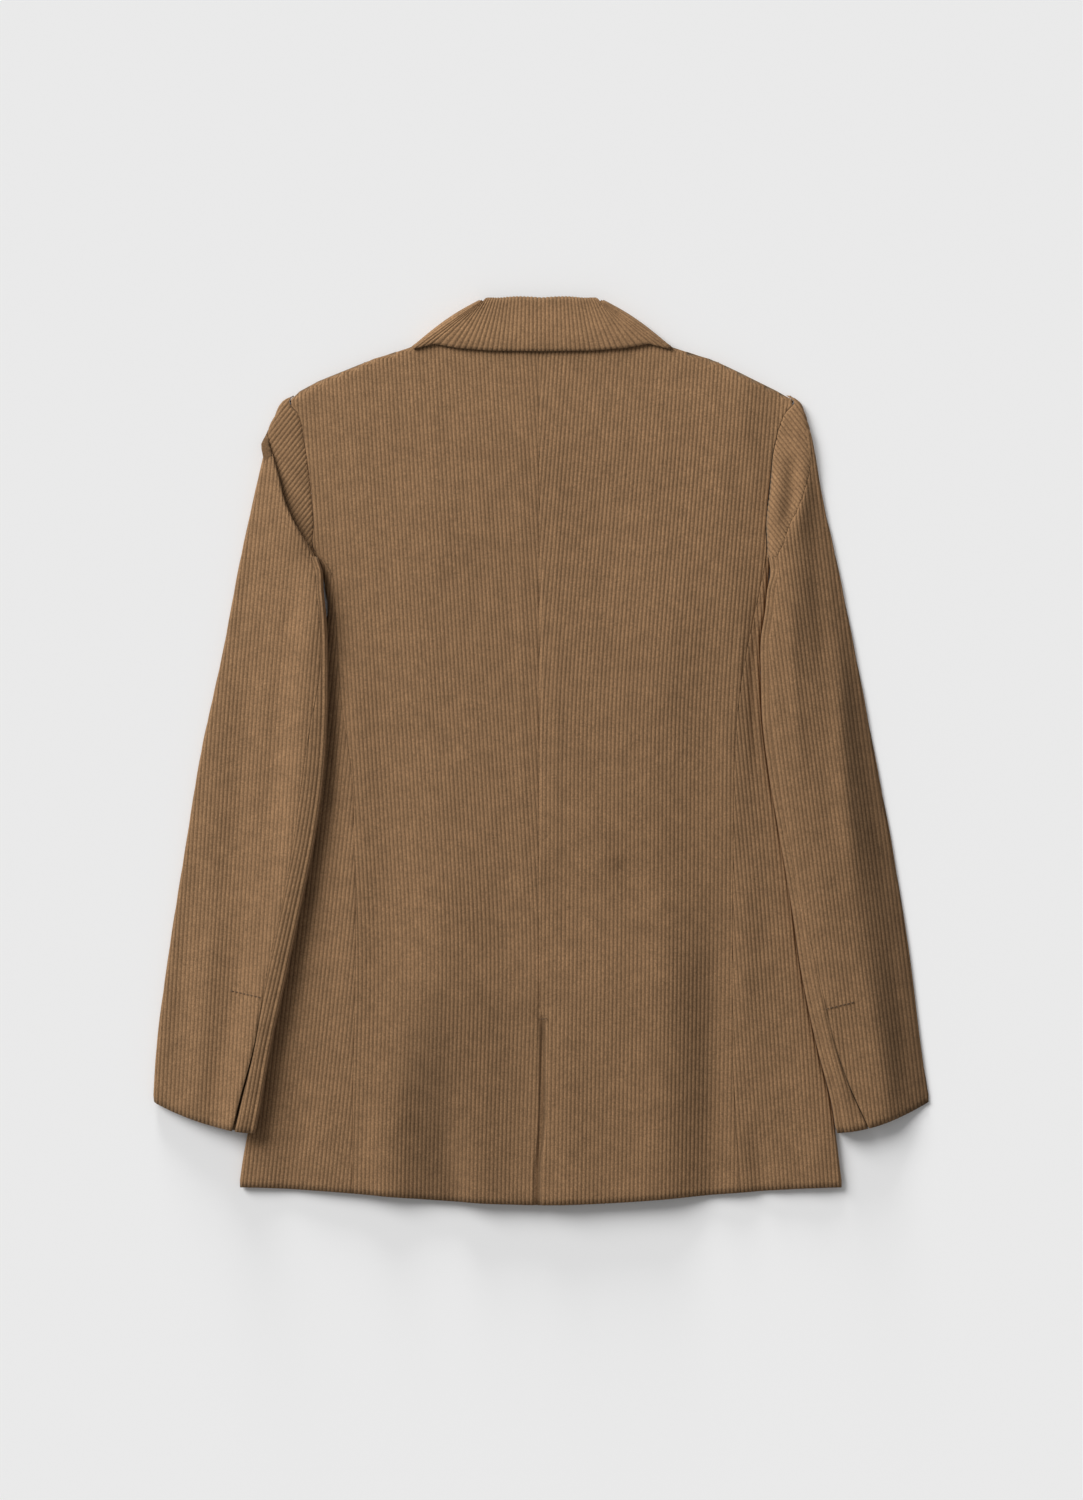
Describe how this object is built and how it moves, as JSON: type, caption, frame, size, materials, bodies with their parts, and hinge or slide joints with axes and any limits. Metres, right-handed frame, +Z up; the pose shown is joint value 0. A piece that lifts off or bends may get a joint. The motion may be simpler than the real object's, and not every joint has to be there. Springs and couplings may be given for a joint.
{
  "type": "double-breasted corduroy blazer",
  "caption": "Long-sleeved corduroy blazer with peak lapels, a double-breasted front and a centre-back vent, laid flat face down.",
  "frame": {"origin": "centre of the bounding box's bottom face, on the surface the blazer lies on", "axes": "+Z up from that surface, towards the back of the garment; +Y from the hem to the collar; +X to the wearer's right"},
  "size_m": [0.6367, 0.744, 0.0156],
  "materials": {
    "corduroy": "brown cotton corduroy, 8-wale, napped",
    "button": "dark brown horn-look"
  },
  "bodies": {
    "root": {"back_left": "corduroy", "back_right": "corduroy", "side_left": "corduroy", "side_right": "corduroy", "front_left": "corduroy", "front_right": "corduroy", "lapel_left": "corduroy", "lapel_right": "corduroy", "top_sleeve_left": "corduroy", "top_sleeve_right": "corduroy", "under_sleeve_left": "corduroy", "under_sleeve_right": "corduroy", "collar_fall": "corduroy", "collar_stand": "corduroy", "button_1_1": "button", "button_1_2": "button", "button_1_3": "button", "button_2_1": "button", "button_2_2": "button", "button_2_3": "button"}
  },
  "joints": []
}
